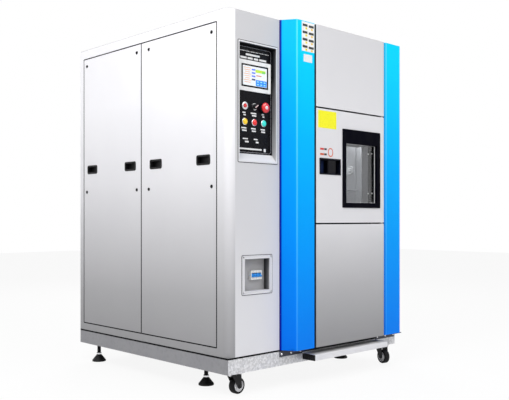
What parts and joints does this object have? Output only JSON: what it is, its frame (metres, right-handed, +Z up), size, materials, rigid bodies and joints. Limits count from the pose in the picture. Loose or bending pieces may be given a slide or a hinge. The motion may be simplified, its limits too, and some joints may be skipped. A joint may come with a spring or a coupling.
{
  "type": "environmental thermal shock test chamber",
  "caption": "free standing three zone environmental test chamber with a glazed door, control column and levelling feet",
  "frame": {"origin": "centre of the footprint on the floor, from the step in front to the fittings behind", "axes": "+Z up, the front with the door and control panel faces -Y, +X to the right seen from the front"},
  "size_m": [1.328, 1.455, 1.85],
  "materials": {
    "panel_paint": "fine satin powder coat, light grey white",
    "frame_paint": "satin powder coat, light grey",
    "blue_paint": "smooth gloss powder coat, bright blue",
    "dark_paint": "dark blue grey powder coat",
    "base_steel": "grey paint over plate",
    "stainless": "brushed stainless steel",
    "polished_steel": "bright polished steel",
    "aluminium": "mill finish",
    "black_plastic": "fine texture black",
    "panel_plastic": "smooth black plate",
    "white_plastic": "off white",
    "red_plastic": "glossy red",
    "yellow_plastic": "lamp lens",
    "blue_plastic": "glossy blue",
    "seal_rubber": "silicone seal",
    "wheel_rubber": "solid black tread",
    "clear_glass": "clear toughened glass",
    "insulation": "foamed panel with a foil skin"
  },
  "bodies": {
    "cabinet": {"base_frame": "base_steel", "body_frame": "frame_paint", "roof_panel": "panel_paint", "rear_panel": "panel_paint", "left_front_panel": "panel_paint", "left_rear_panel": "panel_paint", "right_front_panel": "panel_paint", "right_rear_panel": "panel_paint", "panel_grips": "black_plastic", "dome_screws": "black_plastic", "control_column": "panel_paint", "front_fascia": "panel_paint", "left_column": "blue_paint", "right_column": "blue_paint", "column_brackets": "dark_paint", "upper_cover": "panel_paint", "lower_cover": "panel_paint", "kick_step": "panel_paint", "step_end_caps": "black_plastic", "control_bezel": "frame_paint", "control_plate": "panel_plastic", "touch_panel": "black_plastic", "switch_collars": "polished_steel", "pilot_lamps": "yellow_plastic", "breaker_recess": "frame_paint", "circuit_breaker": "white_plastic", "door_gasket": "seal_rubber", "test_liner": "stainless", "zone_casing": "insulation", "sample_shelf": "stainless", "rack_rails": "stainless", "fan_motors": "dark_paint", "refrigeration_unit": "dark_paint", "service_fittings": "black_plastic", "caster_mounts": "polished_steel", "hinge_brackets": "stainless"},
    "door": {"door_shell": "panel_paint", "door_plug": "insulation", "window_frame": "stainless", "window_panes": "clear_glass", "handle_cup": "black_plastic"},
    "handle": {"handle_lever": "black_plastic"},
    "power": {"power_button": "red_plastic"},
    "mode": {"mode_selector": "black_plastic"},
    "emergency": {"emergency_stop": "red_plastic"},
    "toggle": {"breaker_toggle": "blue_plastic"},
    "hot_flap": {"hot_damper": "stainless"},
    "cold_flap": {"cold_damper": "stainless"},
    "hot_rotor": {"hot_fan": "aluminium"},
    "cold_rotor": {"cold_fan": "aluminium"},
    "left_swivel": {"front_left_fork": "polished_steel"},
    "right_swivel": {"front_right_fork": "polished_steel"},
    "front_left_roller": {"front_left_wheel": "wheel_rubber"},
    "front_right_roller": {"front_right_wheel": "wheel_rubber"},
    "rear_left_roller": {"rear_left_wheel": "wheel_rubber"},
    "rear_right_roller": {"rear_right_wheel": "wheel_rubber"},
    "front_left_leg": {"front_left_foot": "black_plastic"},
    "front_right_leg": {"front_right_foot": "black_plastic"},
    "rear_left_leg": {"rear_left_foot": "black_plastic"},
    "rear_right_leg": {"rear_right_foot": "black_plastic"}
  },
  "joints": [
    {"name": "door_swing", "type": "hinge", "parent": "cabinet", "child": "door", "pos_m": [0.4415, -0.7075, 0.825], "axis": [0, 0, 1], "range_deg": [0, 110]},
    {"name": "handle_pull", "type": "hinge", "parent": "door", "child": "handle", "pos_m": [-0.0245, -0.7125, 1.1225], "axis": [0, 0, -1], "range_deg": [0, 35], "stiffness_Nm_per_rad": 0.25},
    {"name": "power_press", "type": "slide", "parent": "cabinet", "child": "power", "axis": [0, 1, 0], "range_m": [0, 0.003], "stiffness_N_per_m": 400},
    {"name": "mode_turn", "type": "hinge", "parent": "cabinet", "child": "mode", "pos_m": [-0.4635, -0.6175, 1.401], "axis": [0, 1, 0], "range_deg": [0, 70]},
    {"name": "emergency_press", "type": "slide", "parent": "cabinet", "child": "emergency", "axis": [0, 1, 0], "range_m": [0, 0.005], "stiffness_N_per_m": 600},
    {"name": "breaker_throw", "type": "hinge", "parent": "cabinet", "child": "toggle", "pos_m": [-0.454, -0.6115, 0.574], "axis": [-1, 0, 0], "range_deg": [0, 60]},
    {"name": "hot_damper_swing", "type": "hinge", "parent": "cabinet", "child": "hot_flap", "pos_m": [0.17025, -0.3685, 1.4325], "axis": [-1, 0, 0], "range_deg": [0, 80]},
    {"name": "cold_damper_swing", "type": "hinge", "parent": "cabinet", "child": "cold_flap", "pos_m": [0.17025, -0.3685, 0.8175], "axis": [1, 0, 0], "range_deg": [0, 80]},
    {"name": "hot_fan_spin", "type": "hinge", "parent": "cabinet", "child": "hot_rotor", "pos_m": [0.17025, -0.2125, 1.593], "axis": [0, 1, 0], "continuous": true},
    {"name": "cold_fan_spin", "type": "hinge", "parent": "cabinet", "child": "cold_rotor", "pos_m": [0.17025, -0.2125, 0.55], "axis": [0, 1, 0], "continuous": true},
    {"name": "left_swivel_turn", "type": "hinge", "parent": "cabinet", "child": "left_swivel", "pos_m": [-0.588, -0.5905, 0.09], "axis": [0, 0, 1], "continuous": true},
    {"name": "front_left_roll", "type": "hinge", "parent": "left_swivel", "child": "front_left_roller", "pos_m": [-0.558, -0.5905, 0.042], "axis": [0, 1, 0], "continuous": true},
    {"name": "right_swivel_turn", "type": "hinge", "parent": "cabinet", "child": "right_swivel", "pos_m": [0.588, -0.5905, 0.09], "axis": [0, 0, 1], "continuous": true},
    {"name": "front_right_roll", "type": "hinge", "parent": "right_swivel", "child": "front_right_roller", "pos_m": [0.58024, -0.61948, 0.042], "axis": [0.9659, -0.2588, 0], "continuous": true},
    {"name": "rear_left_roll", "type": "hinge", "parent": "cabinet", "child": "rear_left_roller", "pos_m": [-0.3, 0.6405, 0.042], "axis": [1, 0, 0], "continuous": true},
    {"name": "rear_right_roll", "type": "hinge", "parent": "cabinet", "child": "rear_right_roller", "pos_m": [0.3, 0.6405, 0.042], "axis": [1, 0, 0], "continuous": true},
    {"name": "front_left_foot_screw", "type": "slide", "parent": "cabinet", "child": "front_left_leg", "axis": [0, 0, 1], "range_m": [-0.02, 0]},
    {"name": "front_right_foot_screw", "type": "slide", "parent": "cabinet", "child": "front_right_leg", "axis": [0, 0, 1], "range_m": [-0.02, 0]},
    {"name": "rear_left_foot_screw", "type": "slide", "parent": "cabinet", "child": "rear_left_leg", "axis": [0, 0, 1], "range_m": [-0.02, 0]},
    {"name": "rear_right_foot_screw", "type": "slide", "parent": "cabinet", "child": "rear_right_leg", "axis": [0, 0, 1], "range_m": [-0.02, 0]}
  ]
}
